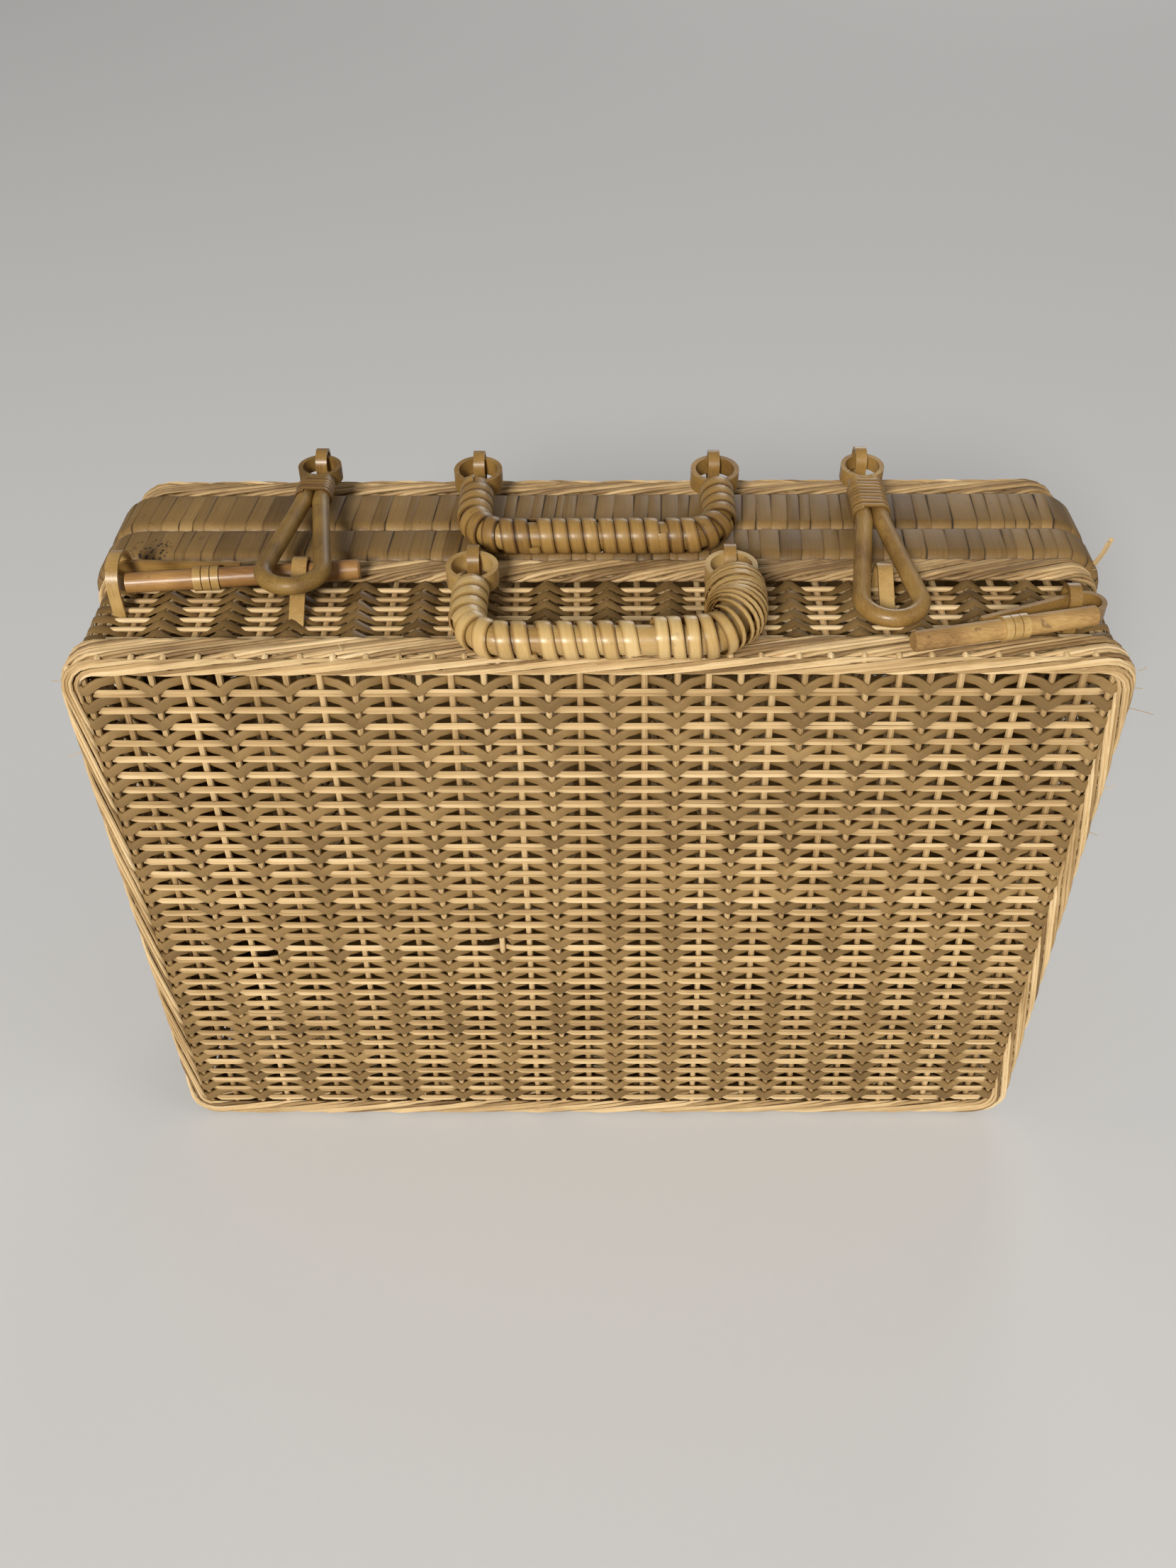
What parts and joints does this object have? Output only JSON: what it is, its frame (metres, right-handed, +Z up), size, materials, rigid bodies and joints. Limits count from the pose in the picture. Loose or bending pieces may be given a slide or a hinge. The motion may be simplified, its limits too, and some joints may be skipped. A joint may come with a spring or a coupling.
{
  "type": "wicker picnic case",
  "caption": "Suitcase-shaped woven rattan picnic case: a deep base, a shallow hinged lid, swinging wrapped handles, and cane hasps closed by tethered pegs.",
  "frame": {"origin": "on the standing face, under the middle of the base rim's width and depth", "axes": "+X to the right across the case, +Y from the deep base towards the lid, +Z up to the handles"},
  "size_m": [0.44, 0.1511, 0.3242],
  "materials": {
    "tan_cane": "satin",
    "pale_reed": "matte",
    "rim_splint": "satin",
    "honey_cane": "gloss",
    "rattan_rod": "satin"
  },
  "bodies": {
    "base": {"base_face_weave": "tan_cane", "base_side_weave": "tan_cane", "base_wall_rope": "pale_reed", "base_face_rope": "pale_reed", "base_rim_braid": "pale_reed", "base_rim_wrap": "rim_splint", "base_rim_hoop": "rim_splint", "left_staple_strap": "honey_cane", "right_staple_strap": "honey_cane", "left_corner_strap": "honey_cane", "right_corner_strap": "honey_cane", "front_loop_left": "honey_cane", "front_loop_right": "honey_cane", "base_hinge_turns": "honey_cane", "hinge_rods": "rattan_rod"},
    "lid": {"lid_panel_weave": "tan_cane", "lid_side_weave": "tan_cane", "lid_edge_rope": "pale_reed", "lid_panel_rope": "pale_reed", "lid_rim_wrap": "rim_splint", "lid_rim_hoop": "rim_splint", "rear_loop_left": "honey_cane", "rear_loop_right": "honey_cane", "hasp_loop_left": "honey_cane", "hasp_loop_right": "honey_cane", "lid_hinge_turns": "honey_cane"},
    "front_handle": {"front_handle_core": "rattan_rod", "front_handle_wrap": "honey_cane", "front_handle_slack": "honey_cane"},
    "rear_handle": {"rear_handle_core": "rattan_rod", "rear_handle_wrap": "honey_cane"},
    "left_hasp": {"left_hasp_cane": "honey_cane", "left_hasp_binding": "honey_cane"},
    "right_hasp": {"right_hasp_cane": "honey_cane", "right_hasp_binding": "honey_cane"},
    "left_peg": {"left_peg_rod": "rattan_rod", "left_peg_strap": "honey_cane", "left_peg_binding": "honey_cane"},
    "right_peg": {"right_peg_rod": "rattan_rod", "right_peg_strap": "honey_cane", "right_peg_binding": "honey_cane"}
  },
  "joints": [
    {"name": "lid_hinge", "type": "hinge", "parent": "base", "child": "lid", "pos_m": [0, 0.0122, 0.0025], "axis": [-1, 0, 0], "range_deg": [0, 110]},
    {"name": "front_handle_swing", "type": "hinge", "parent": "base", "child": "front_handle", "pos_m": [0.002, -0.03, 0.3096], "axis": [-1, 0, 0], "range_deg": [0, 100]},
    {"name": "rear_handle_swing", "type": "hinge", "parent": "lid", "child": "rear_handle", "pos_m": [0, 0.0456, 0.312], "axis": [-1, 0, 0], "range_deg": [0, 170]},
    {"name": "left_hasp_swing", "type": "hinge", "parent": "lid", "child": "left_hasp", "pos_m": [-0.124, 0.0456, 0.3135], "axis": [-1, 0, 0], "range_deg": [0, 150]},
    {"name": "right_hasp_swing", "type": "hinge", "parent": "lid", "child": "right_hasp", "pos_m": [0.119, 0.0456, 0.3135], "axis": [-1, 0, 0], "range_deg": [0, 150]},
    {"name": "left_peg_slide", "type": "slide", "parent": "base", "child": "left_peg", "axis": [-0.9945, -0.1045, 0], "range_m": [0, 0.03]},
    {"name": "right_peg_swing", "type": "hinge", "parent": "base", "child": "right_peg", "pos_m": [0.192, -0.0587, 0.3052], "axis": [0, 0, 1], "range_deg": [0, 30]}
  ]
}
